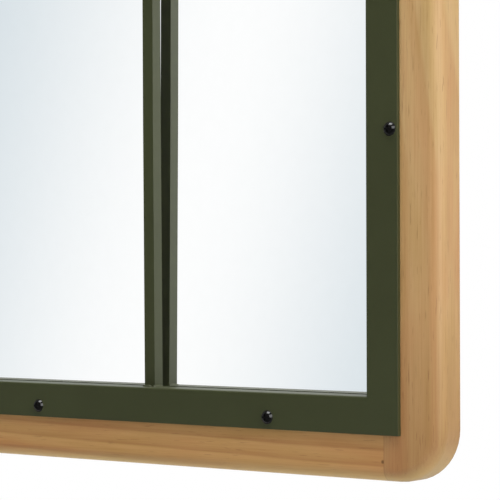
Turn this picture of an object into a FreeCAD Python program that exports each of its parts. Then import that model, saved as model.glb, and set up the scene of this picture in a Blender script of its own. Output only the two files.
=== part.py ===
"""Window mirror: a wood frame, a welded steel window grille in front of one mirror sheet, and the
fixings on its back that hold the mirror in and hang it on a wall.

Millimetres. +X is right as the viewer sees it, +Y points at the wall and +Z is up. The wood's back
lies in the plane Y = 0, and the origin is midway between the two keyholes that hang the mirror.
"""
import FreeCAD
import Part
import math
import os
import re
import Sketcher

PANES_ACROSS = 3
PANES_DOWN = 3
SCREWS_PER_SIDE = 3
BUTTONS_PER_STILE = 3
DOWELS_PER_CORNER = 2

# Each driving size is written once: name, value, what it measures.
SIZES = (
    ("overall_width", 560, "outer width of the wood frame"),
    ("overall_height", 1000, "outer height of the wood frame"),
    ("hanger_drop", 110, "keyhole centre below the frame's top edge"),
    ("stile_width", 35, "boards of the wood frame seen from the front"),
    ("reveal", 24.5, "wood that shows outside the steel"),
    ("wood_thickness", 22, "wood from front to back"),
    ("corner_radius", 28, "outer corners seen from the front"),
    ("front_round", 7, "rounding of the wood's front outer edge"),
    ("back_round", 4, "rounding of the wood's back outer edge"),
    ("rebate_width", 8, "ledge in the wood that the mirror lies on"),
    ("leg_width", 20, "front leg of the steel angle"),
    ("steel_wall", 2.5, "wall of the steel angle"),
    ("return_depth", 15.5, "steel angle from its front to its back edge"),
    ("edge_break", 0.2, "rounding of the angle's front outer edge"),
    ("bend_round", 1, "rounding of the angle's front inner edge"),
    ("bar_width", 7.5, "glazing bar seen from the front"),
    ("bar_depth", 7, "glazing bar from front to back"),
    ("bar_bow", 2.5, "how far an upright bows forward at mid height"),
    ("weld_leg", 2, "leg of a fillet weld"),
    ("weld_run_out", 1.5, "weld at an upright's end that stands in front of it"),
    ("dome_diameter", 7.5, "head of a front screw"),
    ("dome_height", 2.5, "head of a front screw"),
    ("dome_shank", 3.2, "shank of a front screw"),
    ("dome_length", 13, "front screw under its head"),
    ("rail_screw_inset", 6.5, "bottom and top front screws from the steel's outer edge"),
    ("rail_screw_end", 85, "first bottom or top front screw from the steel's corner"),
    ("side_screw_inset", 4.8, "side front screws from the steel's outer edge"),
    ("side_screw_end", 160, "first side front screw from the steel's corner"),
    ("recess_span", 4, "arm to arm of a screw's cross recess"),
    ("recess_width", 0.9, "one arm of a screw's cross recess"),
    ("recess_depth", 1, "depth of a screw's cross recess"),
    ("tape_thickness", 3, "foam tape between the frame and the mirror"),
    ("tape_setback", 0.5, "tape's inner edge behind the steel's inner edge"),
    ("glass_thickness", 3, "mirror sheet"),
    ("glass_gap", 1, "clearance round the mirror sheet in its rebate"),
    ("board_thickness", 2.5, "hardboard behind the mirror"),
    ("button_thickness", 1.2, "turn button plate"),
    ("button_width", 12, "turn button plate"),
    ("button_reach", 18, "turn button from its screw to its far round's centre"),
    ("button_inset", 9, "turn button's screw from the rebate"),
    ("button_play", 0.3, "clearance under, over and inside a turn button"),
    ("pan_diameter", 7, "head of a turn button's screw"),
    ("pan_height", 2, "head of a turn button's screw"),
    ("pan_shank", 3, "shank of a turn button's screw"),
    ("pan_length", 12, "turn button's screw under its head"),
    ("plate_thickness", 1.5, "keyhole plate"),
    ("plate_radius", 8, "round ends of a keyhole plate"),
    ("plate_pitch", 34, "screw to screw on a keyhole plate"),
    ("plate_inset", 15.5, "keyhole plate's middle from the wood's outer edge"),
    ("keyhole_radius", 4.5, "hole that a wall screw's head goes in at"),
    ("slot_radius", 2.25, "half the slot that a wall screw's neck slides in"),
    ("slot_travel", 10, "how far a wall screw slides up its slot"),
    ("pocket_radius", 6, "half the wood pocket behind a keyhole"),
    ("pocket_depth", 10, "wood pocket behind a keyhole"),
    ("flat_diameter", 6, "head of a keyhole plate's screw"),
    ("flat_height", 1.2, "head of a keyhole plate's screw"),
    ("flat_shank", 3, "shank of a keyhole plate's screw"),
    ("flat_length", 14, "keyhole plate's screw under its head"),
    ("dowel_diameter", 8, "dowel in a frame corner"),
    ("dowel_length", 30, "dowel in a frame corner"),
    ("dowel_inset", 8.5, "first dowel from the wood's outer edge"),
    ("dowel_pitch", 13, "first dowel to second"),
    ("pad_diameter", 12, "wall pad"),
    ("pad_thickness", 4.5, "wall pad"),
    ("pad_inset", 18, "wall pad from the two outer edges of its corner"),
    ("fit_gap", 0.1, "clearance round screws, dowels and plates in their seats"),
)

# Each of these follows from the driving sizes.
DERIVED = (
    ("half_width", "overall_width / 2"),
    ("top_edge", "hanger_drop"),
    ("bottom_edge", "hanger_drop - overall_height"),
    ("mid_height", "hanger_drop - overall_height / 2"),
    ("rail_half", "half_width - stile_width"),
    ("rebate_edge", "stile_width - rebate_width"),
    ("steel_width", "overall_width - 2 * reveal"),
    ("steel_height", "overall_height - 2 * reveal"),
    ("steel_front", "-wood_thickness - steel_wall"),
    ("ledge", "steel_front + return_depth"),
    ("glass_front", "ledge + tape_thickness"),
    ("glass_back", "glass_front + glass_thickness"),
    ("glass_inset", "rebate_edge + glass_gap"),
    ("glass_half", "half_width - glass_inset"),
    ("glass_height", "overall_height - 2 * glass_inset"),
    ("tape_width", "reveal + leg_width - tape_setback - glass_inset"),
    ("bar_front", "ledge - bar_depth"),
    ("bar_length", "steel_height - 2 * leg_width"),
    ("bar_foot", "bottom_edge + reveal + leg_width"),
    ("bow_radius", "bar_length * bar_length / (8 * bar_bow) + bar_bow / 2"),
    ("pane_left", "reveal + leg_width - half_width"),
    ("pane_width", f"(steel_width - 2 * leg_width - {PANES_ACROSS - 1} * bar_width) / {PANES_ACROSS}"),
    ("pane_height", f"(bar_length - {PANES_DOWN - 1} * bar_width) / {PANES_DOWN}"),
    ("button_pivot", "rebate_edge - button_inset"),
    ("button_stack", "button_thickness + 2 * button_play"),
    ("plate_foot", "slot_travel / 2 - plate_pitch / 2"),
    ("plate_head", "slot_travel / 2 + plate_pitch / 2"),
)
NAMES = {row[0] for row in SIZES + DERIVED}
TOLERANCE = 1e-6
UP = FreeCAD.Vector(0, 0, 1)

document = FreeCAD.newDocument("window_mirror")
sheet = document.addObject("Spreadsheet::Sheet", "Sizes")
nodes = []


def fill_sheet():
    rows = [(name, str(value), note) for name, value, note in SIZES]
    rows += [(name, "=" + formula, "worked out") for name, formula in DERIVED]
    for row, (name, content, note) in enumerate(rows, start=1):
        sheet.set(f"A{row}", name)
        sheet.set(f"B{row}", content)
        sheet.set(f"C{row}", note)
        sheet.setAlias(f"B{row}", name)
    document.recompute()


def tied(expression):
    """The expression with every size's name pointing at its cell in the sheet."""
    return re.sub(r"[a-z_]+", lambda word: point_at_cell(word.group()), expression)


def point_at_cell(word):
    return "Sizes." + word if word in NAMES else word


def value_of(expression):
    return float(sheet.evalExpression(tied(expression)))


def bind(target, **expressions):
    for name, expression in expressions.items():
        target.setExpression(name, tied(expression))


def place(target, x="0", y="0", z="0", rotation=FreeCAD.Rotation()):
    target.Placement = FreeCAD.Placement(FreeCAD.Vector(), rotation)
    for component, expression in (("x", x), ("y", y), ("z", z)):
        target.setExpression(f".Placement.Base.{component}", tied(expression))


def about_depth(angle):
    """A turn in the plane of the mirror: 90 degrees takes up to right."""
    return FreeCAD.Rotation(FreeCAD.Vector(0, 1, 0), angle)


def new_body(label):
    body = document.addObject("PartDesign::Body", label)
    body.Label = label
    return body


def new_sketch(body, name, plane, lift="0"):
    """A sketch on one of the body's own origin planes, lifted along that plane's normal."""
    sketch = body.newObject("Sketcher::SketchObject", f"{body.Label}_{name}")
    support = [feature for feature in body.Origin.OriginFeatures if feature.Role == plane]
    sketch.AttachmentSupport = (support[0], [""])
    sketch.MapMode = "FlatFace"
    sketch.setExpression(".AttachmentOffset.Base.z", tied(lift))
    return sketch


def spot(across, up):
    return FreeCAD.Vector(value_of(across), value_of(up), 0)


def drive(sketch, constraint, expression):
    index = sketch.addConstraint(constraint)
    sketch.setExpression(f"Constraints[{index}]", tied(expression))


def pin_point(sketch, geometry, point, across, up):
    """Ties one point of a sketch to its two distances from the sketch's origin."""
    for kind, axis, expression in (("DistanceX", -2, across), ("DistanceY", -1, up)):
        if expression == "0":
            sketch.addConstraint(Sketcher.Constraint("PointOnObject", geometry, point, axis))
        else:
            distance = Sketcher.Constraint(kind, -1, 1, geometry, point, value_of(expression))
            drive(sketch, distance, expression)


def draw_outline(sketch, corners):
    """A closed outline of straight lines through the corners."""
    points = [spot(*corner) for corner in corners]
    count = len(points)
    for index in range(count):
        sketch.addGeometry(Part.LineSegment(points[index], points[(index + 1) % count]), False)
    for index, corner in enumerate(corners):
        following = (index + 1) % count
        sketch.addConstraint(Sketcher.Constraint("Coincident", index, 2, following, 1))
        pin_point(sketch, index, 1, *corner)


def draw_rectangle(sketch, left, right, low, high):
    draw_outline(sketch, ((left, low), (right, low), (right, high), (left, high)))


def draw_circles(sketch, centres, radius):
    for across, up in centres:
        circle = Part.Circle(spot(across, up), UP, value_of(radius))
        index = sketch.addGeometry(circle, False)
        pin_point(sketch, index, 3, across, up)
        drive(sketch, Sketcher.Constraint("Radius", index, value_of(radius)), radius)


def draw_slot(sketch, across, low, high, radius):
    """An upright slot with round ends, centred on its two end points."""
    size = value_of(radius)
    bottom, top = spot(across, low), spot(across, high)
    side = FreeCAD.Vector(size, 0, 0)
    sketch.addGeometry(Part.ArcOfCircle(Part.Circle(bottom, UP, size), math.pi, 2 * math.pi), False)
    sketch.addGeometry(Part.LineSegment(bottom + side, top + side), False)
    sketch.addGeometry(Part.ArcOfCircle(Part.Circle(top, UP, size), 0, math.pi), False)
    sketch.addGeometry(Part.LineSegment(top - side, bottom - side), False)
    for index in range(4):
        following = (index + 1) % 4
        sketch.addConstraint(Sketcher.Constraint("Tangent", index, 2, following, 1))
    sketch.addConstraint(Sketcher.Constraint("Equal", 0, 2))
    pin_point(sketch, 0, 3, across, low)
    pin_point(sketch, 2, 3, across, high)
    drive(sketch, Sketcher.Constraint("Radius", 0, size), radius)


def extrude(kind, sketch, length, reverse=False, symmetric=False):
    """A Pad or a Pocket of a sketch. Stops if it left the body as it was."""
    body = sketch.getParentGeoFeatureGroup()
    before = body.Shape.Volume if not body.Shape.isNull() else 0
    feature = body.newObject("PartDesign::" + kind, f"{sketch.Name}_{kind.lower()}")
    feature.Profile = sketch
    feature.Reversed = reverse
    feature.SideType = "Symmetric" if symmetric else "One side"
    bind(feature, Length=length)
    document.recompute()
    if abs(body.Shape.Volume - before) < TOLERANCE:
        raise RuntimeError(f"{feature.Name} changed nothing")


def round_edges(body, name, radius, wanted):
    """Rounds the edges whose ends and middle all pass the test."""
    names = []
    for index, edge in enumerate(body.Shape.Edges, start=1):
        middle = edge.valueAt((edge.FirstParameter + edge.LastParameter) / 2)
        if wanted([middle] + [vertex.Point for vertex in edge.Vertexes]):
            names.append(f"Edge{index}")
    base = body.Tip
    feature = body.newObject("PartDesign::Fillet", f"{body.Label}_{name}")
    feature.Base = (base, names)
    bind(feature, Radius=radius)
    document.recompute()


def all_at(points, axis, expression):
    """True if every point has this coordinate."""
    wanted = value_of(expression)
    return all(abs(getattr(point, axis) - wanted) < TOLERANCE for point in points)


def along(length, count):
    """Evenly spaced places about the middle of a length, as expressions."""
    return [f"({2 * index + 1 - count}) * {length} / {2 * count}" for index in range(count)]


def group(label, copies):
    """One node that holds separate solids."""
    compound = document.addObject("Part::Compound", label)
    compound.Label = label
    compound.Links = copies
    nodes.append(compound)


def copy_of(original, x, y, z, rotation=FreeCAD.Rotation()):
    link = document.addObject("App::Link", original.Name + "_copy")
    link.LinkedObject = original
    place(link, x, y, z, rotation)
    return link


def box(label, length, width, height, x, y, z):
    block = document.addObject("Part::Box", label)
    block.Label = label
    bind(block, Length=length, Width=width, Height=height)
    place(block, x, y, z)
    return block


def screw_places(kind):
    """Evenly spaced places of the front screws on a rail or a side, from the middle of its steel."""
    length = {"rail": "steel_width", "side": "steel_height"}[kind]
    gaps = SCREWS_PER_SIDE - 1
    reach = f"({length} / 2 - {kind}_screw_end)"
    return [f"({2 * index - gaps}) * {reach} / {gaps}" for index in range(SCREWS_PER_SIDE)]


def side_screw_heights():
    return [f"mid_height + {place}" for place in screw_places("side")]


def button_heights():
    return [f"mid_height + {place}" for place in along("overall_height", BUTTONS_PER_STILE)]


def dowel_insets():
    return [f"dowel_inset + {index} * dowel_pitch" for index in range(DOWELS_PER_CORNER)]


def dowel_heights():
    low = [f"bottom_edge + {inset}" for inset in dowel_insets()]
    high = [f"top_edge - ({inset})" for inset in dowel_insets()]
    return low + high


def drill_front(body, centres):
    """Pilot holes for the front screws."""
    pilots = new_sketch(body, "front_pilots", "XZ_Plane", "wood_thickness")
    draw_circles(pilots, centres, "dome_shank / 2 + fit_gap")
    extrude("Pocket", pilots, "dome_length - steel_wall + fit_gap")


def drill_back(body, name, centres, shank, depth):
    pilots = new_sketch(body, name, "XZ_Plane")
    draw_circles(pilots, centres, f"{shank} / 2 + fit_gap")
    extrude("Pocket", pilots, f"{depth} + fit_gap", reverse=True)


def drill_dowels(body, name, across, heights, reverse):
    holes = new_sketch(body, name, "YZ_Plane", across)
    centres = [("-wood_thickness / 2", height) for height in heights]
    draw_circles(holes, centres, "dowel_diameter / 2 + fit_gap")
    extrude("Pocket", holes, "dowel_length / 2 + fit_gap", reverse=reverse)


def cut_rebate(body, left, right, low, high):
    """The step in the wood's back that the tape, mirror and board lie in."""
    step = new_sketch(body, "rebate", "XZ_Plane")
    draw_rectangle(step, left, right, low, high)
    extrude("Pocket", step, "-ledge", reverse=True)


def make_stile(label, side):
    """A full-height upright of the wood frame. Side is 1 on the right and -1 on the left."""
    outer = f"{side} * half_width"
    inner = f"{side} * rail_half"
    rebate = f"{side} * (half_width - rebate_edge)"
    plate = f"{side} * (half_width - plate_inset)"
    body = new_body(label)
    board = new_sketch(body, "board", "XZ_Plane")
    draw_rectangle(board, outer, inner, "bottom_edge", "top_edge")
    extrude("Pad", board, "wood_thickness")
    round_edges(body, "corners", "corner_radius", lambda points: all_at(points, "x", outer)
                and (all_at(points, "z", "top_edge") or all_at(points, "z", "bottom_edge")))
    round_edges(body, "front_edge", "front_round", lambda points: all_at(points, "y", "-wood_thickness")
                and not all_at(points, "x", inner))
    round_edges(body, "back_edge", "back_round", lambda points: all_at(points, "y", "0")
                and not all_at(points, "x", inner))
    cut_rebate(body, rebate, inner, "bottom_edge + rebate_edge", "top_edge - rebate_edge")
    drill_dowels(body, "dowel_holes", inner, dowel_heights(), reverse=side > 0)
    screw_line = f"{side} * (half_width - reveal - side_screw_inset)"
    drill_front(body, [(screw_line, height) for height in side_screw_heights()])
    pivot_line = f"{side} * (half_width - button_pivot)"
    pivots = [(pivot_line, height) for height in button_heights()]
    drill_back(body, "button_pilots", pivots, "pan_shank", "pan_length - button_stack")
    seat = new_sketch(body, "plate_seat", "XZ_Plane")
    draw_slot(seat, plate, "plate_foot", "plate_head", "plate_radius + fit_gap")
    extrude("Pocket", seat, "plate_thickness", reverse=True)
    pocket = new_sketch(body, "head_pocket", "XZ_Plane")
    draw_slot(pocket, plate, "0", "slot_travel", "pocket_radius")
    extrude("Pocket", pocket, "pocket_depth", reverse=True)
    plate_screws = [(plate, "plate_foot"), (plate, "plate_head")]
    drill_back(body, "plate_pilots", plate_screws, "flat_shank", "flat_length")
    nodes.append(body)


def make_rail(label, side):
    """A cross piece of the wood frame, butted between the stiles. Side is 1 at the top and -1 below."""
    outer = "top_edge" if side > 0 else "bottom_edge"
    body = new_body(label)
    board = new_sketch(body, "board", "XZ_Plane")
    draw_rectangle(board, "-rail_half", "rail_half", outer, f"{outer} - {side} * stile_width")
    extrude("Pad", board, "wood_thickness")
    round_edges(body, "front_edge", "front_round", lambda points: all_at(points, "y", "-wood_thickness")
                and all_at(points, "z", outer))
    round_edges(body, "back_edge", "back_round", lambda points: all_at(points, "y", "0")
                and all_at(points, "z", outer))
    cut_rebate(body, "-rail_half", "rail_half", f"{outer} - {side} * rebate_edge",
               f"{outer} - {side} * stile_width")
    heights = [f"{outer} - {side} * ({inset})" for inset in dowel_insets()]
    drill_dowels(body, "left_dowel_holes", "-rail_half", heights, reverse=True)
    drill_dowels(body, "right_dowel_holes", "rail_half", heights, reverse=False)
    screw_line = f"{outer} - {side} * (reveal + rail_screw_inset)"
    drill_front(body, [(across, screw_line) for across in screw_places("rail")])
    pivot = [("0", f"{outer} - {side} * button_pivot")]
    drill_back(body, "button_pilot", pivot, "pan_shank", "pan_length - button_stack")
    nodes.append(body)


def make_dowels():
    """Round wood pins across the four butt joints."""
    pins = []
    for side in (-1, 1):
        for height in dowel_heights():
            pin = document.addObject("Part::Cylinder", "dowel")
            bind(pin, Radius="dowel_diameter / 2", Height="dowel_length")
            left = f"{side} * rail_half - dowel_length / 2"
            place(pin, left, "-wood_thickness / 2", height, about_depth(90))
            pins.append(pin)
    group("corner_dowels", pins)


def make_angle(label, kind, x, z, angle):
    """One mitred side of the welded steel angle frame. It is drawn lying along the bottom."""
    half = {"rail": "steel_width", "side": "steel_height"}[kind] + " / 2"
    body = new_body(label)
    front = new_sketch(body, "front_leg", "XZ_Plane")
    draw_outline(front, ((f"-{half}", "0"), (half, "0"),
                         (f"{half} - leg_width", "leg_width"), (f"leg_width - {half}", "leg_width")))
    extrude("Pad", front, "steel_wall", reverse=True)
    inner = "leg_width - steel_wall"
    back = new_sketch(body, "return_leg", "XZ_Plane")
    draw_outline(back, ((f"{inner} - {half}", inner), (f"{half} - ({inner})", inner),
                        (f"{half} - leg_width", "leg_width"), (f"leg_width - {half}", "leg_width")))
    extrude("Pad", back, "return_depth", reverse=True)
    for name, height in (("edge_break", "0"), ("bend_round", "leg_width")):
        round_edges(body, name, name,
                    lambda points: all_at(points, "y", "0") and all_at(points, "z", height))
    holes = new_sketch(body, "screw_holes", "XZ_Plane")
    centres = [(across, f"{kind}_screw_inset") for across in screw_places(kind)]
    draw_circles(holes, centres, "dome_shank / 2 + fit_gap")
    extrude("Pocket", holes, "steel_wall")
    place(body, x, "steel_front", z, about_depth(angle))
    nodes.append(body)


def upright_middles():
    return [f"pane_left + {index} * pane_width + {index - 0.5} * bar_width"
            for index in range(1, PANES_ACROSS)]


def make_upright(label, x):
    """A square bar welded between the bottom and top angles, bowed a little towards the room."""
    body = new_body(label)
    side = new_sketch(body, "side", "YZ_Plane")
    radius = value_of("bow_radius")
    half_angle = math.asin(value_of("bar_length / 2") / radius)
    for front in ("0", "bar_depth"):
        centre = spot(f"{front} + bow_radius - bar_bow", "bar_length / 2")
        circle = Part.Circle(centre, UP, radius)
        side.addGeometry(Part.ArcOfCircle(circle, math.pi - half_angle, math.pi + half_angle), False)
    for height in ("0", "bar_length"):
        side.addGeometry(Part.LineSegment(spot("0", height), spot("bar_depth", height)), False)
    front_arc, back_arc, foot, head = range(4)
    for line, end, height in ((foot, 2, "0"), (head, 1, "bar_length")):
        pin_point(side, line, 1, "0", height)
        pin_point(side, line, 2, "bar_depth", height)
        side.addConstraint(Sketcher.Constraint("Coincident", line, 1, front_arc, end))
        side.addConstraint(Sketcher.Constraint("Coincident", line, 2, back_arc, end))
    for arc in (front_arc, back_arc):
        drive(side, Sketcher.Constraint("Radius", arc, radius), "bow_radius")
    extrude("Pad", side, "bar_width", symmetric=True)
    place(body, x, "bar_front", "bar_foot")
    nodes.append(body)


def row_low(row):
    """Height of a cross bar's lower side above the uprights' feet."""
    return f"{row} * pane_height + {row - 1} * bar_width"


def row_front(row):
    """Depth of a cross bar's front, level with the bowed uprights beside it."""
    from_middle = f"({row_low(row)} + bar_width / 2 - bar_length / 2)"
    bow = f"sqrt(bow_radius * bow_radius - {from_middle} * {from_middle}) - bow_radius + bar_bow"
    return f"bar_front - ({bow})"


def column_left(column):
    return f"pane_left + {column} * (pane_width + bar_width)"


def make_cross_bars():
    for row in range(1, PANES_DOWN):
        for column in range(PANES_ACROSS):
            bar = box(f"cross_bar_{row}_{column + 1}", "pane_width", "bar_depth", "bar_width",
                      column_left(column), row_front(row), f"bar_foot + {row_low(row)}")
            nodes.append(bar)


def make_weld(label, length):
    """A quarter-round bead with its axis along the depth, ready to be turned into a corner."""
    bead = document.addObject("Part::Cylinder", label)
    bind(bead, Radius="weld_leg", Height=length)
    bead.Angle = 90
    return bead


def bead_in(bead, x, y, z, right, above):
    """A copy of a bead in one of the four corners where two bars cross, from depth y forward."""
    turn = {(True, True): 0, (True, False): 90, (False, False): 180, (False, True): 270}[right, above]
    forward = FreeCAD.Rotation(FreeCAD.Vector(1, 0, 0), 90)
    return copy_of(bead, x, y, z, about_depth(turn).multiply(forward))


def make_welds():
    end_bead = make_weld("end_bead", "bar_depth + weld_run_out")
    cross_bead = make_weld("cross_bead", "bar_depth")
    beads = []
    for middle in upright_middles():
        for z, above in (("bar_foot", True), ("bar_foot + bar_length", False)):
            beads.append(bead_in(end_bead, f"{middle} + bar_width / 2", "ledge", z, True, above))
            beads.append(bead_in(end_bead, f"{middle} - bar_width / 2", "ledge", z, False, above))
    for row in range(1, PANES_DOWN):
        depth = f"{row_front(row)} + bar_depth"
        low = f"bar_foot + {row_low(row)}"
        for column in range(PANES_ACROSS):
            left = column_left(column)
            for x, right in ((left, True), (f"{left} + pane_width", False)):
                beads.append(bead_in(cross_bead, x, depth, f"{low} + bar_width", right, True))
                beads.append(bead_in(cross_bead, x, depth, low, right, False))
    group("weld_beads", beads)


def make_screw(label, kind):
    """A round-headed cross-recess screw: its head points to -Y, and its shank runs to +Y from 0."""
    diameter, height = f"{kind}_diameter", f"{kind}_height"
    shank, length = f"{kind}_shank", f"{kind}_length"
    head_radius = f"{diameter} / 2"
    body = new_body(label)
    profile = new_sketch(body, "profile", "XY_Plane")
    corners = (("0", f"-{height}"), ("0", length), (f"{shank} / 2", f"{length} - {shank}"),
               (f"{shank} / 2", "0"), (head_radius, "0"))
    points = [spot(*corner) for corner in corners]
    for start, end in zip(points, points[1:]):
        profile.addGeometry(Part.LineSegment(start, end), False)
    dome_radius = value_of(f"({head_radius} * {head_radius} + {height} * {height}) / (2 * {height})")
    centre = points[0] + FreeCAD.Vector(0, dome_radius, 0)
    rim_angle = math.atan2(-centre.y, points[-1].x)
    dome = profile.addGeometry(
        Part.ArcOfCircle(Part.Circle(centre, UP, dome_radius), -math.pi / 2, rim_angle), False)
    for line, corner in enumerate(corners[:-1]):
        pin_point(profile, line, 1, *corner)
        if line:
            profile.addConstraint(Sketcher.Constraint("Coincident", line - 1, 2, line, 1))
    last = dome - 1
    pin_point(profile, last, 2, *corners[-1])
    profile.addConstraint(Sketcher.Constraint("Coincident", last, 2, dome, 2))
    profile.addConstraint(Sketcher.Constraint("Coincident", 0, 1, dome, 1))
    profile.addConstraint(Sketcher.Constraint("PointOnObject", dome, 3, -2))
    turned = body.newObject("PartDesign::Revolution", f"{label}_turned")
    turned.Profile = profile
    turned.ReferenceAxis = (profile, ["V_Axis"])
    turned.Angle = 360
    document.recompute()
    arm, half = "recess_span / 2", "recess_width / 2"
    quarter = ((arm, half), (half, half), (half, arm))
    outline = []
    for across_sign, up_sign in ((1, 1), (-1, 1), (-1, -1), (1, -1)):
        turn = quarter if across_sign == up_sign else quarter[::-1]
        outline += [(f"{across_sign} * {across}", f"{up_sign} * {up}") for across, up in turn]
    recess = new_sketch(body, "recess", "XZ_Plane", height)
    draw_outline(recess, outline)
    extrude("Pocket", recess, "recess_depth")
    return body


def make_front_screws():
    """Black screws that hold the steel to the wood."""
    screw = make_screw("front_screw", "dome")
    spots = [(across, f"{edge} (reveal + rail_screw_inset)") for edge in ("bottom_edge +", "top_edge -")
             for across in screw_places("rail")]
    spots += [(f"{side} * (half_width - reveal - side_screw_inset)", height) for side in (-1, 1)
              for height in side_screw_heights()]
    group("front_screws", [copy_of(screw, x, "steel_front", z) for x, z in spots])


def make_mirror():
    """Foam tape on the ledge, the mirror sheet on it, and a board behind the sheet."""
    left, low = "-glass_half", "bottom_edge + glass_inset"
    between = "2 * glass_half - 2 * tape_width"
    beside = "tape_width - glass_half"
    strips = [box("tape_strip", "tape_width", "tape_thickness", "glass_height", x, "ledge", low)
              for x in (left, "glass_half - tape_width")]
    strips += [box("tape_strip", between, "tape_thickness", "tape_width", beside, "ledge", z)
               for z in (low, f"{low} + glass_height - tape_width")]
    group("glazing_tape", strips)
    nodes.append(box("mirror_glass", "2 * glass_half", "glass_thickness", "glass_height",
                     left, "glass_front", low))
    nodes.append(box("backboard", "2 * glass_half", "board_thickness", "glass_height",
                     left, "glass_back", low))


def button_places():
    """Label, x, z and turn of each turn button, pointing over the board."""
    line = "(half_width - button_pivot)"
    places = []
    for index, height in enumerate(button_heights(), start=1):
        places.append((f"turn_button_left_{index}", f"-{line}", height, 90))
        places.append((f"turn_button_right_{index}", line, height, -90))
    places.append(("turn_button_bottom", "0", "bottom_edge + button_pivot", 0))
    places.append(("turn_button_top", "0", "top_edge - button_pivot", 180))
    return places


def make_turn_buttons():
    """Flat steel fingers on the wood's back that turn over the board's edge to hold it in."""
    screw = make_screw("button_screw", "pan")
    outwards = FreeCAD.Rotation(UP, 180)
    screws = []
    for label, x, z, angle in button_places():
        body = new_body(label)
        finger = new_sketch(body, "finger", "XZ_Plane")
        draw_slot(finger, "0", "0", "button_reach", "button_width / 2")
        extrude("Pad", finger, "button_thickness", reverse=True)
        hole = new_sketch(body, "hole", "XZ_Plane")
        draw_circles(hole, [("0", "0")], "pan_shank / 2 + button_play")
        extrude("Pocket", hole, "button_thickness")
        place(body, x, "button_play", z, about_depth(angle))
        nodes.append(body)
        screws.append(copy_of(screw, x, "button_stack", z, outwards))
    group("turn_button_screws", screws)


def make_keyhole_plates():
    """Steel plates let into the stiles' backs: a wall screw's head goes in low and slides up."""
    screw = make_screw("plate_screw", "flat")
    outwards = FreeCAD.Rotation(UP, 180)
    screws = []
    for side, name in ((-1, "left"), (1, "right")):
        body = new_body(f"keyhole_plate_{name}")
        plate = new_sketch(body, "plate", "XZ_Plane")
        draw_slot(plate, "0", "plate_foot", "plate_head", "plate_radius")
        extrude("Pad", plate, "plate_thickness")
        entry = new_sketch(body, "keyhole", "XZ_Plane")
        draw_circles(entry, [("0", "0")], "keyhole_radius")
        extrude("Pocket", entry, "plate_thickness", reverse=True)
        slot = new_sketch(body, "slot", "XZ_Plane")
        draw_slot(slot, "0", "0", "slot_travel", "slot_radius")
        extrude("Pocket", slot, "plate_thickness", reverse=True)
        holes = new_sketch(body, "screw_holes", "XZ_Plane")
        draw_circles(holes, [("0", "plate_foot"), ("0", "plate_head")], "flat_shank / 2 + fit_gap")
        extrude("Pocket", holes, "plate_thickness", reverse=True)
        x = f"{side} * (half_width - plate_inset)"
        place(body, x)
        nodes.append(body)
        screws += [copy_of(screw, x, "0", z, outwards) for z in ("plate_foot", "plate_head")]
    group("keyhole_screws", screws)


def make_wall_pads():
    """Soft pads that bear on the wall at the four corners."""
    pads = []
    towards_wall = FreeCAD.Rotation(FreeCAD.Vector(1, 0, 0), -90)
    for side in (-1, 1):
        for z in ("bottom_edge + pad_inset", "top_edge - pad_inset"):
            pad = document.addObject("Part::Cylinder", "pad")
            bind(pad, Radius="pad_diameter / 2", Height="pad_thickness")
            place(pad, f"{side} * (half_width - pad_inset)", "0", z, towards_wall)
            pads.append(pad)
    group("wall_pads", pads)


def check_and_write():
    document.recompute()
    for item in document.Objects:
        if "Invalid" in item.State or "Error" in item.State:
            raise RuntimeError(f"{item.Name} failed: {item.State}")
    for node in nodes:
        if node.Shape.isNull() or not node.Shape.isValid() or not node.Shape.Solids:
            raise RuntimeError(f"{node.Label} has no valid solid")
    os.makedirs("parts", exist_ok=True)
    for node in nodes:
        node.Shape.exportStep(f"parts/{node.Label}.step")
        print(f"{node.Label}: {len(node.Shape.Solids)} solids, {node.Shape.Volume:.0f} mm3")


fill_sheet()
make_stile("stile_left", -1)
make_stile("stile_right", 1)
make_rail("rail_bottom", -1)
make_rail("rail_top", 1)
make_dowels()
make_angle("steel_angle_bottom", "rail", "0", "bottom_edge + reveal", 0)
make_angle("steel_angle_top", "rail", "0", "top_edge - reveal", 180)
make_angle("steel_angle_left", "side", "reveal - half_width", "mid_height", 90)
make_angle("steel_angle_right", "side", "half_width - reveal", "mid_height", -90)
for number, middle_line in enumerate(upright_middles(), start=1):
    make_upright(f"upright_{number}", middle_line)
make_cross_bars()
make_welds()
make_front_screws()
make_mirror()
make_turn_buttons()
make_keyhole_plates()
make_wall_pads()
check_and_write()
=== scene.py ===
"""Dresses the window mirror: an olive-coated steel grille over one silvered sheet, in a pine frame.

Metres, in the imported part's own frame: +X is right as the viewer sees it, +Y points at the wall, +Z is up.
"""

import math

import bmesh
import bpy
from mathutils import Matrix, Vector, noise


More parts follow.
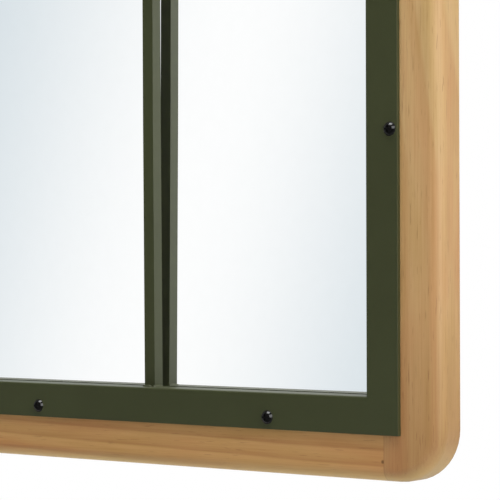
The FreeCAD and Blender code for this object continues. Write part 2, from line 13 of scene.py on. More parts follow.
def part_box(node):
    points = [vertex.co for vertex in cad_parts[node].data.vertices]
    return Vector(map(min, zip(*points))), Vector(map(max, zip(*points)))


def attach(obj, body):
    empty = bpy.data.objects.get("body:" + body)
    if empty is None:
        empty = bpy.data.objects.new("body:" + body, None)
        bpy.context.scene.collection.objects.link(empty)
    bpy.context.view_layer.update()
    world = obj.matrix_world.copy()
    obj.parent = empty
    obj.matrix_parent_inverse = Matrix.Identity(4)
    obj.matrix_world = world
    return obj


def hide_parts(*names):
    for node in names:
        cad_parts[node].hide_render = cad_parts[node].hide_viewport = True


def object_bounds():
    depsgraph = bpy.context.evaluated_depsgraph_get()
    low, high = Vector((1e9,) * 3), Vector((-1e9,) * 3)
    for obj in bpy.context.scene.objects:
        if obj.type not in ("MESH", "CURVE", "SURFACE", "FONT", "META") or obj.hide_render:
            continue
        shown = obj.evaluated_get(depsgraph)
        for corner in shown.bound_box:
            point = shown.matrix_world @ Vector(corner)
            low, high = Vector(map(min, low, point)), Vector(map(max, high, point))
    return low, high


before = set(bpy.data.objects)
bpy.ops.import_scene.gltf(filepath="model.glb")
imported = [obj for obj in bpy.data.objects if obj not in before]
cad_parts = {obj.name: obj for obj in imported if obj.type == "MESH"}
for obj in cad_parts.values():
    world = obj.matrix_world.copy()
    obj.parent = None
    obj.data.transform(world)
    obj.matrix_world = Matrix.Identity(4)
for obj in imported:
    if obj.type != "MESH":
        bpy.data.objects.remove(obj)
cad_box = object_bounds()

MM = 0.001

# The photograph's camera, found by fitting the part's straight edges to the picture's. Angles are degrees.
PICTURE_WIDTH = 500
CAMERA_SPOT = (0.8247, -0.8944, -0.7833)
CAMERA_YAW, CAMERA_PITCH, CAMERA_ROLL = 37.423, -0.811, -0.109
FOCAL_PIXELS = 1996.2
SENSOR = 36.0
NEAREST_SEEN = 0.05

# A round floor. Its shadow fades to white between two distances from its middle.
FLOOR_BELOW = 0.45
FLOOR_RADIUS, FLOOR_SIDES = 3.5, 96
FLOOR_FADE_FROM, FLOOR_FADE_TO = 0.9, 2.6

# Softboxes: place, side, and power in watts. All point at the corner that the photograph shows.
LAMP_TARGET = (0.25, 0.0, -0.85)
SOFTBOXES = {
    "softbox_above": ((0.35, -0.7, 2.5), 2.0, 128),
    "softbox_right": ((2.36, -0.98, 0.12), 1.7, 46),
    "softbox_back": ((-1.2, 2.3, 0.5), 1.4, 70),
}

# The room's light on the object, and in the sheen of surfaces that face the room. The sheen's light is that
# dim up to the first heading along Y, and white from the second, behind the mirror.
ROOM_LIGHT, SHEEN_LIGHT = 0.14, 0.18
SHEEN_DIM_TO, SHEEN_WHITE_FROM = -0.3, 0.3
# The white band that the mirror shows: where it faces and how it leans in degrees, and the sine of the
# angle from its middle to the deepest blue beside it.
BAND_HEADING, BAND_LEAN = -39.71, -13.56
BAND_TO_BLUE = 0.154
# The room counts a ray one higher than the surfaces that it has met, so this is a ray that met two. Counts
# are told apart at half a step.
AFTER_TWO_BOUNCES = 3
HALF_STEP = 0.5

# Sockets of the Mix node by number, because its colours and its plain numbers share their names.
MIX_A, MIX_B, MIX_RESULT = 6, 7, 2
MIX_NUMBER_A, MIX_NUMBER_B = 2, 3

UPRIGHTS = ("upright_1", "upright_2")
CROSS_BARS = [f"cross_bar_{row}_{column}" for row in (1, 2) for column in (1, 2, 3)]
ANGLES = [f"steel_angle_{side}" for side in ("bottom", "top", "left", "right")]
TURN_BUTTON_PARTS = [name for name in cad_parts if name.startswith("turn_button")]
KEYHOLE_PARTS = ("keyhole_plate_left", "keyhole_plate_right", "keyhole_screws")

# Pine tones from early wood to late wood.
STILE_TONES = ("#c6a778", "#c6a575", "#bf9b6b")
RAIL_TONES = ("#b78f5a", "#b18853", "#a67b4a")
# A pin knot at the bottom rail's right end: its place across, through and along the board, and its radius.
PIN_KNOT = ((-0.8795, -0.022, 0.2443), 1.3 * MM)


def linear(hex_colour):
    """An sRGB hex colour as linear RGBA."""
    channels = [int(hex_colour[start:start + 2], 16) / 255 for start in (1, 3, 5)]
    return [c / 12.92 if c <= 0.04045 else ((c + 0.055) / 1.055) ** 2.4 for c in channels] + [1.0]


def add(tree, kind, links=None, stops=None, **settings):
    """Adds one node: its settings, then for each named input a value or another node's output.
    Stops are the (place, colour) pairs of a colour ramp."""
    made = tree.nodes.new("ShaderNode" + kind)
    for name, value in settings.items():
        setattr(made, name, value)
    for name, value in (links or {}).items():
        if isinstance(value, bpy.types.NodeSocket):
            tree.links.new(value, made.inputs[name])
        else:
            made.inputs[name].default_value = value
    for index, (place, colour) in enumerate(stops or ()):
        ramp = made.color_ramp.elements
        stop = ramp[index] if index < 2 else ramp.new(place)
        stop.position = place
        stop.color = linear(colour)
    return made


def new_material(name):
    """An empty node material and its tree."""
    material = bpy.data.materials.new(name)
    material.use_nodes = True
    material.node_tree.nodes.clear()
    return material, material.node_tree


def per(size_mm):
    """Texture scale at which a feature is about this many millimetres across."""
    return 1 / (size_mm * MM)


def planed_pine(name, grain, tones, pith, bend, ring_width, seed, painted_shade_end=None, pin_knots=()):
    """Pine boards, planed and sanded, under clear matt lacquer. The eye sees growth rings that darken slowly
    and then stop short at a redder late-wood line, drifting along the board, with pinkish and yellowish
    streaks, fine fibres, short resin flecks, and arcs of rings on sawn ends.

    grain is the axis that the fibres run along. Tones run from early wood to late wood. pith is where the
    middle of the tree lay beside and behind the board. bend is where along the grain the rings start and
    stop drifting sideways, and how far they go. ring_width is one year's growth in millimetres. seed moves
    the board to another place in the patterns. painted_shade_end is where along the grain painted shade
    starts to darken the board, and where it is darkest; it stands in for light that falls off towards that
    end."""
    wobble, wobble_size, wobble_stretch = 4 * MM, 45, 0.16
    streak_size, streak_stretch = 13, 0.13
    # Real fibres are about 0.05 mm, which is too fine to show, so they are drawn about 1 mm across. Resin
    # flecks are a quarter of a millimetre across, and are drawn at three times that.
    fibre_size, fibre_stretch, fibre_share = 1.0, 0.022, 0.5
    fleck_size, fleck_stretch, fleck_share = 0.75, 0.07, 0.4
    fleck_from, fleck_full = 0.66, 0.76
    painted_bounce_from, painted_bounce_full, painted_bounce_share = -0.2, -0.8, 0.6
    joint_line, joint_share = 0.5 * MM, 0.35
    knot_core, knot_share = 0.4, 0.85

    material, tree = new_material(name)
    coords = add(tree, "TexCoord")
    apart = add(tree, "SeparateXYZ", {"Vector": coords.outputs["Object"]})
    across, along = ("X", "Z") if grain == "Z" else ("Z", "X")
    board = add(tree, "CombineXYZ", {"X": apart.outputs[across], "Y": apart.outputs["Y"],
                                     "Z": apart.outputs[along]})

    start, stop, shift = bend
    drift = add(tree, "MapRange", {"Value": apart.outputs[along], "From Min": start, "From Max": stop,
                                   "To Max": shift})
    drifted = add(tree, "Math", {0: apart.outputs[across], 1: drift.outputs[0]})
    slow = add(tree, "Mapping", {"Vector": board.outputs[0], "Location": (seed, 0, 0),
                                 "Scale": (1, 1, wobble_stretch)})
    wander = add(tree, "TexNoise", {"Vector": slow.outputs[0], "Scale": per(wobble_size), "Detail": 2.0})
    from_pith = add(tree, "CombineXYZ", {"X": drifted.outputs[0], "Y": apart.outputs["Y"]})
    radius = add(tree, "VectorMath", {0: from_pith.outputs[0], 1: (pith[0], pith[1], 0)},
                 operation="DISTANCE")
    bent = add(tree, "Math", {0: wander.outputs[0], 1: wobble, 2: radius.outputs["Value"]},
               operation="MULTIPLY_ADD")
    rings = add(tree, "Math", {0: bent.outputs[0], 1: per(ring_width)}, operation="MULTIPLY")
    phase = add(tree, "Math", {0: rings.outputs[0]}, operation="FRACT")
    early, middle, late = tones
    ring_colour = add(tree, "ValToRGB", {"Fac": phase.outputs[0]},
                      [(0, early), (1, early), (0.5, middle), (0.88, late)])

    quick = add(tree, "Mapping", {"Vector": board.outputs[0], "Location": (0, seed, 0),
                                  "Scale": (1, 1, fibre_stretch)})
    fibre = add(tree, "TexNoise", {"Vector": quick.outputs[0], "Scale": per(fibre_size), "Detail": 3.0})
    fibre_tone = add(tree, "ValToRGB", {"Fac": fibre.outputs[0]}, [(0.3, "#e6dac8"), (0.62, "#ffffff")])
    colour = add(tree, "Mix", {0: fibre_share, MIX_A: ring_colour.outputs[0], MIX_B: fibre_tone.outputs[0]},
                 data_type="RGBA", blend_type="MULTIPLY").outputs[MIX_RESULT]

    streaked = add(tree, "Mapping", {"Vector": board.outputs[0], "Location": (seed, seed, 0),
                                     "Scale": (1, 1, streak_stretch)})
    streak = add(tree, "TexNoise", {"Vector": streaked.outputs[0], "Scale": per(streak_size), "Detail": 2.0})
    streak_tone = add(tree, "ValToRGB", {"Fac": streak.outputs[0]},
                      [(0.34, "#f6f5e4"), (0.66, "#fbefe8"), (0.5, "#fdfbf6")])
    colour = add(tree, "Mix", {0: 1.0, MIX_A: colour, MIX_B: streak_tone.outputs[0]},
                 data_type="RGBA", blend_type="MULTIPLY").outputs[MIX_RESULT]

    short = add(tree, "Mapping", {"Vector": board.outputs[0], "Location": (seed, 0, seed),
                                  "Scale": (1, 1, fleck_stretch)})
    resin = add(tree, "TexNoise", {"Vector": short.outputs[0], "Scale": per(fleck_size), "Detail": 1.0})
    fleck = add(tree, "MapRange", {"Value": resin.outputs[0], "From Min": fleck_from, "From Max": fleck_full,
                                   "To Max": fleck_share})
    colour = add(tree, "Mix", {0: fleck.outputs[0], MIX_A: colour, MIX_B: linear("#7d5430")},
                 data_type="RGBA").outputs[MIX_RESULT]

    # Painted shade: the board darkens towards one end, standing in for light that falls off there.
    if painted_shade_end:
        painted_shade = add(tree, "MapRange", {"Value": apart.outputs[along], "From Min": painted_shade_end[0],
                                       "From Max": painted_shade_end[1]})
        painted_shade_tone = add(tree, "ValToRGB", {"Fac": painted_shade.outputs[0]},
                         [(0, "#ffffff"), (1, "#d4c1ae"), (0.7, "#efe6de")])
        colour = add(tree, "Mix", {0: 1.0, MIX_A: colour, MIX_B: painted_shade_tone.outputs[0]},
                     data_type="RGBA", blend_type="MULTIPLY").outputs[MIX_RESULT]

    # Sawn ends drink more lacquer, so they come out darker.
    facing = add(tree, "SeparateXYZ", {"Vector": coords.outputs["Normal"]})
    end_on = add(tree, "Math", {0: facing.outputs[along]}, operation="ABSOLUTE")
    end_tone = add(tree, "ValToRGB", {"Fac": end_on.outputs[0]}, [(0.72, "#ffffff"), (0.98, "#cdb08c")])
    colour = add(tree, "Mix", {0: 1.0, MIX_A: colour, MIX_B: end_tone.outputs[0]},
                 data_type="RGBA", blend_type="MULTIPLY").outputs[MIX_RESULT]

    # Painted light from below: the underside is turned yellower, standing in for the light that the pale
    # floor throws up onto it.
    under = add(tree, "MapRange", {"Value": facing.outputs["Z"], "From Min": painted_bounce_from,
                                   "From Max": painted_bounce_full, "To Max": painted_bounce_share})
    colour = add(tree, "Mix", {0: under.outputs[0], MIX_A: colour, MIX_B: linear("#ab945b")},
                 data_type="RGBA").outputs[MIX_RESULT]

    # The glue line where a rail meets a stile, and pin knots, show as thin dark marks.
    rail_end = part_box("rail_bottom")[1].x
    from_middle = add(tree, "Math", {0: apart.outputs["X"]}, operation="ABSOLUTE")
    from_joint = add(tree, "Math", {0: from_middle.outputs[0], 1: rail_end}, operation="SUBTRACT")
    near_joint = add(tree, "Math", {0: from_joint.outputs[0]}, operation="ABSOLUTE")
    glue = add(tree, "MapRange", {"Value": near_joint.outputs[0], "From Min": 0.0, "From Max": joint_line,
                                  "To Min": joint_share, "To Max": 0.0})
    colour = add(tree, "Mix", {0: glue.outputs[0], MIX_A: colour, MIX_B: linear("#6d4c2b")},
                 data_type="RGBA").outputs[MIX_RESULT]
    for spot, size in pin_knots:
        reach = add(tree, "VectorMath", {0: board.outputs[0], 1: spot}, operation="DISTANCE")
        dark = add(tree, "MapRange", {"Value": reach.outputs["Value"], "From Min": size * knot_core,
                                      "From Max": size, "To Min": knot_share, "To Max": 0.0})
        colour = add(tree, "Mix", {0: dark.outputs[0], MIX_A: colour, MIX_B: linear("#5a3516")},
                     data_type="RGBA").outputs[MIX_RESULT]

    rough = add(tree, "MapRange", {"Value": fibre.outputs[0], "To Min": 0.44, "To Max": 0.6})
    relief = add(tree, "Bump", {"Height": fibre.outputs[0], "Strength": 0.12, "Distance": 0.25 * MM})
    shader = add(tree, "BsdfPrincipled", {
        "Base Color": colour, "Roughness": rough.outputs[0], "IOR": 1.5, "Normal": relief.outputs[0]})
    add(tree, "OutputMaterial", {"Surface": shader.outputs[0]})
    return material


def olive_powder_coat():
    """Mild steel under baked polyester powder, olive and nearly matt. The eye sees an even dark green with a
    faint orange-peel texture that breaks up its sheen."""
    # The peel's dimples are about 0.5 mm, and are drawn a little coarser so that they show.
    peel_size, peel_share = 0.8, 0.4
    cloud_size, cloud_share = 60, 0.6
    material, tree = new_material("olive_powder_coated_steel")
    place = add(tree, "TexCoord").outputs["Object"]
    peel = add(tree, "TexNoise", {"Vector": place, "Scale": per(peel_size), "Detail": 2.0})
    cloud = add(tree, "TexNoise", {"Vector": place, "Scale": per(cloud_size), "Detail": 2.0})
    peel_part = add(tree, "Math", {0: peel.outputs[0], 1: peel_share}, operation="MULTIPLY")
    tone = add(tree, "Math", {0: cloud.outputs[0], 1: cloud_share, 2: peel_part.outputs[0]},
               operation="MULTIPLY_ADD")
    colour = add(tree, "ValToRGB", {"Fac": tone.outputs[0]}, [(0.3, "#34381b"), (0.7, "#393e21")])
    rough = add(tree, "MapRange", {"Value": peel.outputs[0], "To Min": 0.42, "To Max": 0.54})
    relief = add(tree, "Bump", {"Height": peel.outputs[0], "Strength": 0.1, "Distance": 0.08 * MM})
    shader = add(tree, "BsdfPrincipled", {
        "Base Color": colour.outputs[0], "Roughness": rough.outputs[0], "IOR": 1.5,
        "Normal": relief.outputs[0]})
    add(tree, "OutputMaterial", {"Surface": shader.outputs[0]})
    return material


def black_lacquered_screw():
    """Pressed steel screws dipped in black lacquer. The eye sees near-black domes with small hard highlights
    and a little orange peel."""
    dip_size = 1.6
    # Lacquer's usual IOR is 1.5. The heads are darker than that gives, so it is a little lower.
    lacquer_ior = 1.4
    material, tree = new_material("black_lacquered_steel")
    place = add(tree, "TexCoord").outputs["Object"]
    dip = add(tree, "TexNoise", {"Vector": place, "Scale": per(dip_size), "Detail": 2.0})
    colour = add(tree, "ValToRGB", {"Fac": dip.outputs[0]}, [(0.3, "#040404"), (0.7, "#090808")])
    rough = add(tree, "MapRange", {"Value": dip.outputs[0], "To Min": 0.09, "To Max": 0.16})
    relief = add(tree, "Bump", {"Height": dip.outputs[0], "Strength": 0.05, "Distance": 0.05 * MM})
    shader = add(tree, "BsdfPrincipled", {
        "Base Color": colour.outputs[0], "Roughness": rough.outputs[0], "IOR": lacquer_ior,
        "Normal": relief.outputs[0]})
    add(tree, "OutputMaterial", {"Surface": shader.outputs[0]})
    return material


def silvered_float_glass():
    """Float glass silvered on its back. From the front the eye sees a clean mirror; the cut edges are green
    glass and the back is grey backing paint."""
    grain_size = 8
    # How squarely a face looks forwards or backwards: an edge is below the first, a broad face above the
    # second.
    edge_below, face_above = 0.5, 0.9
    material, tree = new_material("silvered_float_glass")
    coords = add(tree, "TexCoord")
    facing = add(tree, "SeparateXYZ", {"Vector": coords.outputs["Normal"]})
    front = add(tree, "MapRange", {"Value": facing.outputs["Y"], "From Min": -face_above,
                                   "From Max": -edge_below, "To Min": 1.0, "To Max": 0.0})
    back = add(tree, "MapRange", {"Value": facing.outputs["Y"], "From Min": edge_below,
                                  "From Max": face_above})
    grain = add(tree, "TexNoise", {"Vector": coords.outputs["Object"], "Scale": per(grain_size),
                                   "Detail": 3.0})
    silver = add(tree, "ValToRGB", {"Fac": grain.outputs[0]}, [(0.3, "#fcfdfd"), (0.7, "#fdfefe")])
    paint = add(tree, "ValToRGB", {"Fac": grain.outputs[0]}, [(0.3, "#5d6163"), (0.7, "#6b6f71")])
    glass = add(tree, "ValToRGB", {"Fac": grain.outputs[0]}, [(0.3, "#5f8876"), (0.7, "#7ba491")])
    behind = add(tree, "Mix", {0: back.outputs[0], MIX_A: glass.outputs[0], MIX_B: paint.outputs[0]},
                 data_type="RGBA")
    colour = add(tree, "Mix", {0: front.outputs[0], MIX_A: behind.outputs[MIX_RESULT],
                               MIX_B: silver.outputs[0]}, data_type="RGBA")
    rough = add(tree, "MapRange", {"Value": front.outputs[0], "To Min": 0.35, "To Max": 0.0})
    shader = add(tree, "BsdfPrincipled", {
        "Base Color": colour.outputs[MIX_RESULT], "Metallic": front.outputs[0],
        "Roughness": rough.outputs[0]})
    add(tree, "OutputMaterial", {"Surface": shader.outputs[0]})
    return material


def pressed_hardboard():
    """Hardboard, wood fibre pressed hot to a smooth brown face. The eye sees a mottled brown with short pale
    and dark fibres lying every way."""
    mottle_size, mottle_share = 38, 0.16
    # Fibre bundles are about 1 mm, and are drawn at more than twice that so that they show.
    fibre_size, fibre_share = 2.4, 0.84
    material, tree = new_material("pressed_hardboard")
    place = add(tree, "TexCoord").outputs["Object"]
    mottle = add(tree, "TexNoise", {"Vector": place, "Scale": per(mottle_size), "Detail": 4.0})
    fibre = add(tree, "TexNoise", {"Vector": place, "Scale": per(fibre_size), "Detail": 5.0,
                                   "Distortion": 1.6})
    mottle_part = add(tree, "Math", {0: mottle.outputs[0], 1: mottle_share}, operation="MULTIPLY")
    tone = add(tree, "Math", {0: fibre.outputs[0], 1: fibre_share, 2: mottle_part.outputs[0]},
               operation="MULTIPLY_ADD")
    colour = add(tree, "ValToRGB", {"Fac": tone.outputs[0]},
                 [(0.34, "#5d4029"), (0.66, "#8d6a48"), (0.5, "#765438")])
    rough = add(tree, "MapRange", {"Value": fibre.outputs[0], "To Min": 0.5, "To Max": 0.75})
    relief = add(tree, "Bump", {"Height": fibre.outputs[0], "Strength": 0.25, "Distance": 0.15 * MM})
    shader = add(tree, "BsdfPrincipled", {
        "Base Color": colour.outputs[0], "Roughness": rough.outputs[0], "IOR": 1.5,
        "Normal": relief.outputs[0]})
    add(tree, "OutputMaterial", {"Surface": shader.outputs[0]})
    return material


def bright_zinc_plate():
    """Pressed steel with bright zinc plate. The eye sees a soft silver with a faint blue and straw bloom and
    fine rolling marks."""
    bloom_size = 7
    # Rolling marks are about 0.1 mm across, which is too fine to show, so they are drawn at 0.7 mm.
    mark_size, mark_stretch = 0.7, 0.06
    material, tree = new_material("bright_zinc_plated_steel")
    place = add(tree, "TexCoord").outputs["Object"]
    bloom = add(tree, "TexNoise", {"Vector": place, "Scale": per(bloom_size), "Detail": 2.0})
    rolled = add(tree, "Mapping", {"Vector": place, "Scale": (1, 1, mark_stretch)})
    marks = add(tree, "TexNoise", {"Vector": rolled.outputs[0], "Scale": per(mark_size), "Detail": 3.0})
    colour = add(tree, "ValToRGB", {"Fac": bloom.outputs[0]},
                 [(0.3, "#9ea7b0"), (0.7, "#b3ae9d"), (0.5, "#acafb0")])
    rough = add(tree, "MapRange", {"Value": marks.outputs[0], "To Min": 0.24, "To Max": 0.46})
    relief = add(tree, "Bump", {"Height": marks.outputs[0], "Strength": 0.08, "Distance": 0.05 * MM})
    shader = add(tree, "BsdfPrincipled", {
        "Base Color": colour.outputs[0], "Metallic": 1.0, "Roughness": rough.outputs[0],
        "Normal": relief.outputs[0]})
    add(tree, "OutputMaterial", {"Surface": shader.outputs[0]})
    return material


def grey_cell_foam():
    """Closed-cell foam tape, cut to strips. The eye sees a dull grey edge pitted with small cells."""
    # Cells are about 0.35 mm, and are drawn at twice that so that they show.
    cell_size = 0.7
    material, tree = new_material("grey_closed_cell_foam")
    place = add(tree, "TexCoord").outputs["Object"]
    cells = add(tree, "TexVoronoi", {"Vector": place, "Scale": per(cell_size)})
    colour = add(tree, "ValToRGB", {"Fac": cells.outputs["Distance"]}, [(0.1, "#74766f"), (0.7, "#8b8d86")])
    relief = add(tree, "Bump", {"Height": cells.outputs["Distance"], "Strength": 0.5, "Distance": 0.2 * MM})
    shader = add(tree, "BsdfPrincipled", {
        "Base Color": colour.outputs[0], "Roughness": 0.92, "IOR": 1.45, "Normal": relief.outputs[0]})
    add(tree, "OutputMaterial", {"Surface": shader.outputs[0]})
    return material


def moulded_rubber():
    """Moulded rubber wall pads. The eye sees a soft dark grey with a fine matt grain."""
    # The mould's grain is about 0.2 mm, and is drawn at four times that so that it shows.
    grain_size = 0.8
    material, tree = new_material("moulded_rubber")
    place = add(tree, "TexCoord").outputs["Object"]
    grain = add(tree, "TexNoise", {"Vector": place, "Scale": per(grain_size), "Detail": 3.0})
    colour = add(tree, "ValToRGB", {"Fac": grain.outputs[0]}, [(0.3, "#1f1f20"), (0.7, "#2f2f30")])
    relief = add(tree, "Bump", {"Height": grain.outputs[0], "Strength": 0.2, "Distance": 0.1 * MM})
    shader = add(tree, "BsdfPrincipled", {
        "Base Color": colour.outputs[0], "Roughness": 0.75, "IOR": 1.52, "Normal": relief.outputs[0]})
    add(tree, "OutputMaterial", {"Surface": shader.outputs[0]})
    return material


def turned_beech():
    """Beech dowels, turned and left bare. The eye sees pale pinkish wood with short brown flecks."""
    fleck_size, fleck_stretch = 0.9, 0.2
    material, tree = new_material("turned_beech")
    place = add(tree, "TexCoord").outputs["Object"]
    run = add(tree, "Mapping", {"Vector": place, "Scale": (fleck_stretch, 1, 1)})
    fleck = add(tree, "TexNoise", {"Vector": run.outputs[0], "Scale": per(fleck_size), "Detail": 3.0})
    colour = add(tree, "ValToRGB", {"Fac": fleck.outputs[0]},
                 [(0.3, "#a97f57"), (0.6, "#dcbf98"), (0.42, "#d0ad84")])
    relief = add(tree, "Bump", {"Height": fleck.outputs[0], "Strength": 0.2, "Distance": 0.1 * MM})
    shader = add(tree, "BsdfPrincipled", {
        "Base Color": colour.outputs[0], "Roughness": 0.65, "IOR": 1.5, "Normal": relief.outputs[0]})
    add(tree, "OutputMaterial", {"Surface": shader.outputs[0]})
    return material


def dress(node, material):
    """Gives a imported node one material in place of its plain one."""
    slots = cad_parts[node].data.materials
    slots.clear()
    slots.append(material)


def bead(mesh, corner, run, side, rise, leg, seed):
    """One weld bead: a quarter-round ridge in a corner, rippled along its run and drawn in at its ends."""
    ripple = 1.3 * MM
    rings, arc = 14, 6
    # Shares of the leg: the ridge's mean, and how far ripples, lumps and roughness stand off it.
    ridge, ripple_height, lump_height, rough_height = 0.86, 0.06, 0.14, 0.06
    # Share of the ridge at an end, and how fast it grows along the run.
    end_share, end_growth = 0.45, 2.2
    lump_seed, lump_pace = 3.7, 0.5
    rough_seed, rough_pace, rough_turn = 1.9, 9, 3
    length = run.length
    rows = []
    for ring in range(rings + 1):
        share = ring / rings
        ripples = share * length / ripple
        end = min(1.0, end_share + end_growth * min(share, 1 - share))
        wave = ripple_height * math.cos(2 * math.pi * ripples)
        lump = lump_height * noise.noise(Vector((seed * lump_seed, ripples * lump_pace, 0)))
        spine = corner + run * share
        row = [mesh.verts.new(spine)]
        for step in range(arc + 1):
            angle = math.pi / 2 * step / arc
            pit = Vector((seed * rough_seed, share * rough_pace, angle * rough_turn))
            rough = rough_height * noise.noise(pit)
            reach = leg * end * (ridge + wave + lump + rough)
            row.append(mesh.verts.new(spine + side * (reach * math.cos(angle))
                                      + rise * (reach * math.sin(angle))))
        rows.append(row)
    count = arc + 2
    for low, high in zip(rows, rows[1:]):
        for index in range(count):
            following = (index + 1) % count
            mesh.faces.new((low[index], low[following], high[following], high[index]))
    mesh.faces.new(rows[0])
    mesh.faces.new(rows[-1])


def make_weld_beads(material):
    """The beads in every corner where two bars meet, and a tack across the front of each upright's ends."""
    leg = 1.1 * MM
    run_out = 1.5 * MM
    tack_share = 0.7
    sharp_from = math.radians(50)
    left, right = Vector((-1, 0, 0)), Vector((1, 0, 0))
    up, down = Vector((0, 0, 1)), Vector((0, 0, -1))
    forward = Vector((0, -1, 0))
    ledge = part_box("steel_angle_bottom")[1].y
    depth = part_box("cross_bar_1_1")
    foot_run = forward * (depth[1].y - depth[0].y + run_out)
    front = ledge + foot_run.y + run_out
    corners = []
    for node in UPRIGHTS:
        low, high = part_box(node)
        for z, rise in ((low.z, up), (high.z, down)):
            corners.append((Vector((low.x, ledge, z)), foot_run, left, rise))
            corners.append((Vector((high.x, ledge, z)), foot_run, right, rise))
            tack_run = right * (high.x - low.x) * tack_share
            corners.append((Vector((low.x, front, z)), tack_run, forward, rise))
    for node in CROSS_BARS:
        low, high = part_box(node)
        run = Vector((0, low.y - high.y, 0))
        for x, side in ((low.x, right), (high.x, left)):
            for z, rise in ((high.z, up), (low.z, down)):
                corners.append((Vector((x, high.y, z)), run, side, rise))
    mesh = bmesh.new()
    for seed, (corner, run, side, rise) in enumerate(corners):
        bead(mesh, corner, run, side, rise, leg, seed)
    bmesh.ops.recalc_face_normals(mesh, faces=mesh.faces)
    data = bpy.data.meshes.new("weld_beads_rippled")
    mesh.to_mesh(data)
    mesh.free()
    for face in data.polygons:
        face.use_smooth = True
    data.set_sharp_from_angle(angle=sharp_from)
    welds = bpy.data.objects.new("weld_beads_rippled", data)
    bpy.context.scene.collection.objects.link(welds)
    data.materials.append(material)
    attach(welds, "root")
    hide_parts("weld_beads")


def make_camera():
    """The camera at the photograph's place. Yaw turns it left of straight at the wall, pitch tips it down,
    and roll leans it."""
    yaw, pitch, roll = (math.radians(angle) for angle in (CAMERA_YAW, CAMERA_PITCH, CAMERA_ROLL))
    ahead = Vector((-math.sin(yaw) * math.cos(pitch), math.cos(yaw) * math.cos(pitch), -math.sin(pitch)))
    level = Vector((math.cos(yaw), math.sin(yaw), 0))
    upright = level.cross(ahead)
    across = level * math.cos(roll) + upright * math.sin(roll)
    above = upright * math.cos(roll) - level * math.sin(roll)
    data = bpy.data.cameras.new("camera")
    data.sensor_width = SENSOR
    data.lens = SENSOR * FOCAL_PIXELS / PICTURE_WIDTH
    data.clip_start = NEAREST_SEEN
    camera = bpy.data.objects.new("camera", data)
    bpy.context.scene.collection.objects.link(camera)
    turn = Matrix((across, above, -ahead)).transposed().to_4x4()
    camera.matrix_world = Matrix.Translation(CAMERA_SPOT) @ turn
    bpy.context.scene.camera = camera


def make_softbox(name, spot, side, power):
    """A square soft lamp that points at the photographed corner."""
    data = bpy.data.lights.new(name, "AREA")
    data.size = side
    data.energy = power
    lamp = bpy.data.objects.new(name, data)
    lamp.location = spot
    lamp.rotation_euler = (Vector(LAMP_TARGET) - Vector(spot)).to_track_quat("-Z", "Y").to_euler()
    bpy.context.scene.collection.objects.link(lamp)


def make_floor():
    """A round pale floor under the mirror, left out of reflections. It keeps the shadow near the middle and
    fades to white outwards."""
    cloud_size = 300
    mesh = bmesh.new()
    bmesh.ops.create_circle(mesh, cap_ends=True, segments=FLOOR_SIDES, radius=FLOOR_RADIUS)
    data = bpy.data.meshes.new("floor")
    mesh.to_mesh(data)
    mesh.free()
    floor = bpy.data.objects.new("floor", data)
    floor.location = (0, 0, cad_box[0].z - FLOOR_BELOW)
    bpy.context.scene.collection.objects.link(floor)
    floor.visible_glossy = False

    material, tree = new_material("pale_painted_floor")
    place = add(tree, "TexCoord").outputs["Object"]
    cloud = add(tree, "TexNoise", {"Vector": place, "Scale": per(cloud_size), "Detail": 2.0})
    tone = add(tree, "ValToRGB", {"Fac": cloud.outputs[0]}, [(0.3, "#ededec"), (0.7, "#f2f2f1")])
    painted = add(tree, "BsdfPrincipled", {"Base Color": tone.outputs[0], "Roughness": 0.85})
    white = add(tree, "Emission", {"Strength": 1.0})
    from_middle = add(tree, "VectorMath", {0: place}, operation="LENGTH")
    fade = add(tree, "MapRange", {"Value": from_middle.outputs["Value"], "From Min": FLOOR_FADE_FROM,
                                  "From Max": FLOOR_FADE_TO}, interpolation_type="SMOOTHSTEP")
    ray = add(tree, "LightPath")
    amount = add(tree, "Math", {0: fade.outputs[0], 1: ray.outputs["Is Camera Ray"]}, operation="MULTIPLY")
    mixed = add(tree, "MixShader", {0: amount.outputs[0], 1: painted.outputs[0], 2: white.outputs[0]})
    add(tree, "OutputMaterial", {"Surface": mixed.outputs[0]})
    data.materials.append(material)


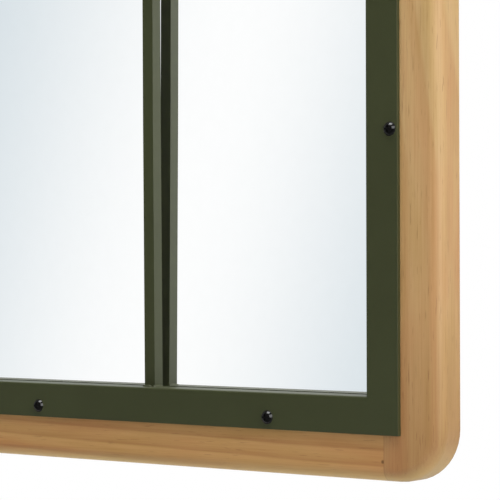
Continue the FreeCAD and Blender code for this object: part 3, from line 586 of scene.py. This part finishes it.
def make_room():
    """White to the camera, and even light on the object. Clear glass and the mirror's sharp reflections see
    a white room with a soft pale-blue swell to each side of a leaning white band. A blurred sheen sees white
    behind the mirror, and a dimmer room in front of it. What the mirror shows has its sheen from a white
    room too, until the light has bounced three times."""
    heading_angle, lean = math.radians(BAND_HEADING), math.radians(BAND_LEAN)
    band_normal = (math.cos(heading_angle) * math.cos(lean), math.sin(heading_angle) * math.cos(lean),
                   math.sin(lean))
    world = bpy.data.worlds.new("room")
    bpy.context.scene.world = world
    world.use_nodes = True
    tree = world.node_tree
    tree.nodes.clear()
    heading = add(tree, "TexCoord").outputs["Generated"]
    ray = add(tree, "LightPath")

    # What the camera and sharp reflections see.
    away = add(tree, "VectorMath", {0: heading, 1: band_normal}, operation="DOT_PRODUCT")
    swing = add(tree, "Math", {0: away.outputs["Value"], 1: math.pi / BAND_TO_BLUE},
                operation="MULTIPLY")
    wave = add(tree, "Math", {0: swing.outputs[0]}, operation="COSINE")
    blue = add(tree, "MapRange", {"Value": wave.outputs[0], "From Min": 1.0, "From Max": -1.0})
    unseen = add(tree, "Math", {0: 1.0, 1: ray.outputs["Is Camera Ray"]}, operation="SUBTRACT")
    share = add(tree, "Math", {0: blue.outputs[0], 1: unseen.outputs[0]}, operation="MULTIPLY")
    tone = add(tree, "Mix", {0: share.outputs[0], MIX_A: linear("#ffffff"), MIX_B: linear("#d4dee4")},
               data_type="RGBA")
    shown = add(tree, "Background", {"Color": tone.outputs[MIX_RESULT], "Strength": 1.0})

    # What lights the object and makes its sheen.
    apart = add(tree, "SeparateXYZ", {"Vector": heading})
    sheen = add(tree, "MapRange", {"Value": apart.outputs["Y"], "From Min": SHEEN_DIM_TO,
                                   "From Max": SHEEN_WHITE_FROM, "To Min": SHEEN_LIGHT, "To Max": 1.0},
                interpolation_type="SMOOTHSTEP")
    mirrored = add(tree, "Math", {0: ray.outputs["Ray Depth"], 1: AFTER_TWO_BOUNCES, 2: HALF_STEP},
                   operation="COMPARE")
    shine = add(tree, "Math", {0: sheen.outputs[0], 1: mirrored.outputs[0]}, operation="MAXIMUM")
    strength = add(tree, "Mix", {0: ray.outputs["Is Glossy Ray"], MIX_NUMBER_A: ROOM_LIGHT,
                                 MIX_NUMBER_B: shine.outputs[0]})
    light = add(tree, "Background", {"Color": linear("#ffffff"), "Strength": strength.outputs[0]})

    early = add(tree, "Math", {0: ray.outputs["Ray Depth"], 1: AFTER_TWO_BOUNCES + HALF_STEP},
                operation="LESS_THAN")
    glossy = add(tree, "Math", {0: ray.outputs["Is Glossy Ray"], 1: early.outputs[0]}, operation="MULTIPLY")
    sharp = add(tree, "Math", {0: glossy.outputs[0], 1: ray.outputs["Is Singular Ray"]},
                operation="MULTIPLY")
    clear = add(tree, "Math", {0: sharp.outputs[0], 1: ray.outputs["Is Transmission Ray"]},
                operation="MAXIMUM")
    seen = add(tree, "Math", {0: ray.outputs["Is Camera Ray"], 1: clear.outputs[0]}, operation="MAXIMUM")
    mixed = add(tree, "MixShader", {0: seen.outputs[0], 1: light.outputs[0], 2: shown.outputs[0]})
    add(tree, "OutputWorld", {"Surface": mixed.outputs[0]})


coat = olive_powder_coat()
zinc = bright_zinc_plate()
# The right stile carries painted shade towards its foot.
dress("stile_right", planed_pine(
    "planed_pine_right_stile", grain="Z", tones=STILE_TONES, pith=(0.0941, -0.11),
    bend=(-0.7235, -0.6, 0.0198), ring_width=15.9, seed=3.1, painted_shade_end=(-0.6, -0.885)))
dress("stile_left", planed_pine(
    "planed_pine_left_stile", grain="Z", tones=STILE_TONES, pith=(-0.39, -0.1),
    bend=(-0.89, 0.11, -0.06), ring_width=13, seed=7.7))
dress("rail_bottom", planed_pine(
    "planed_pine_bottom_rail", grain="X", tones=RAIL_TONES, pith=(-0.784, 0.03),
    bend=(-0.25, 0.25, 0.01), ring_width=7, seed=5.3, pin_knots=(PIN_KNOT,)))
dress("rail_top", planed_pine(
    "planed_pine_top_rail", grain="X", tones=RAIL_TONES, pith=(0.19, 0.05),
    bend=(-0.25, 0.25, -0.015), ring_width=8, seed=1.9))
for name in [*UPRIGHTS, *CROSS_BARS, *ANGLES]:
    dress(name, coat)
for name in [*TURN_BUTTON_PARTS, *KEYHOLE_PARTS]:
    dress(name, zinc)
dress("front_screws", black_lacquered_screw())
dress("mirror_glass", silvered_float_glass())
dress("backboard", pressed_hardboard())
dress("glazing_tape", grey_cell_foam())
dress("wall_pads", moulded_rubber())
dress("corner_dowels", turned_beech())
make_weld_beads(coat)

make_camera()
make_room()
make_floor()
for name, (spot, side, power) in SOFTBOXES.items():
    make_softbox(name, spot, side, power)
bpy.context.scene.view_settings.view_transform = "Standard"
